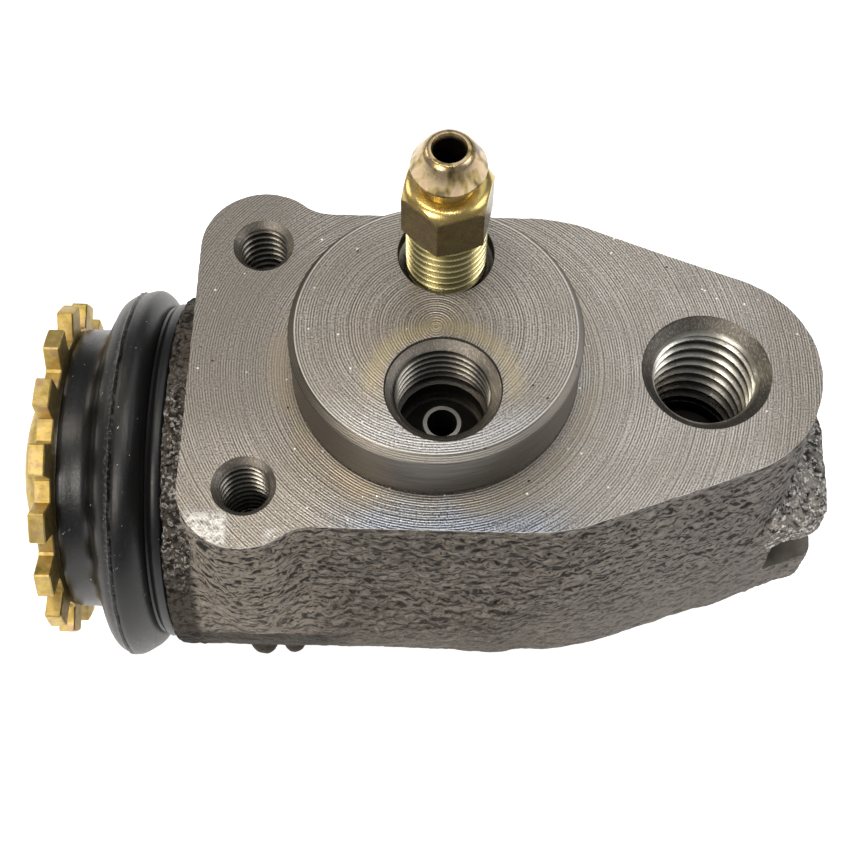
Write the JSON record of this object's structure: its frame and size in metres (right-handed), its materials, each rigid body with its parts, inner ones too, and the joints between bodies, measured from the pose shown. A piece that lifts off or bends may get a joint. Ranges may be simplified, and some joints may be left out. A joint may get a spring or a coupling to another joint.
{
  "type": "wheel cylinder",
  "caption": "Drum brake wheel cylinder: cast body with a turned pilot boss, bleeder screw, flared inlet, rubber boot, star-wheel shoe adjuster and a fixed shoe fork.",
  "frame": {"origin": "centre of the pilot boss in the plane of the machined flange face", "axes": "+Z out of the flange face towards the backing plate, +X along the bore from the adjuster to the fixed fork, +Y completes the right-handed frame"},
  "size_m": [0.09, 0.0418, 0.0715],
  "materials": {
    "cast_body": "rough cast walls, turned flange face and boss",
    "flare_seat": "turned",
    "zinc_bleeder": "yellow zinc plate",
    "spring_wire": "drawn wire",
    "seal_rubber": "moulded",
    "piston_steel": "ground",
    "boot_rubber": "satin moulded rubber",
    "zinc_star_wheel": "yellow zinc plate",
    "zinc_adjuster_screw": "yellow zinc plate"
  },
  "bodies": {
    "housing": {"cylinder_body": "cast_body", "inlet_flare_seat": "flare_seat", "dust_boot": "boot_rubber", "cup_spring": "spring_wire"},
    "piston": {"piston": "piston_steel", "piston_cup": "seal_rubber"},
    "star_wheel": {"adjuster_star_wheel": "zinc_star_wheel"},
    "adjuster_screw": {"adjuster_screw": "zinc_adjuster_screw"},
    "bleeder": {"bleeder_screw": "zinc_bleeder"}
  },
  "joints": [
    {"name": "piston_slide", "type": "slide", "parent": "housing", "child": "piston", "axis": [-1, 0, 0], "range_m": [0, 0.006], "deforming": ["dust_boot", "cup_spring"]},
    {"name": "star_wheel_turn", "type": "hinge", "parent": "piston", "child": "star_wheel", "pos_m": [-0.0414, 0, -0.026], "axis": [-1, 0, 0], "range_deg": [0, 1801]},
    {"name": "adjuster_screw_slide", "type": "slide", "parent": "piston", "child": "adjuster_screw", "axis": [-1, 0, 0], "range_m": [0, 0.00625]},
    {"name": "bleeder_turn", "type": "hinge", "parent": "housing", "child": "bleeder", "pos_m": [0.0008, 0.0085, 0], "axis": [0, 0, 1], "range_deg": [0, 360]}
  ],
  "couplings": [
    {"joint": "star_wheel_turn", "follows": "adjuster_screw_slide", "rad_per_m": 5026.5}
  ]
}
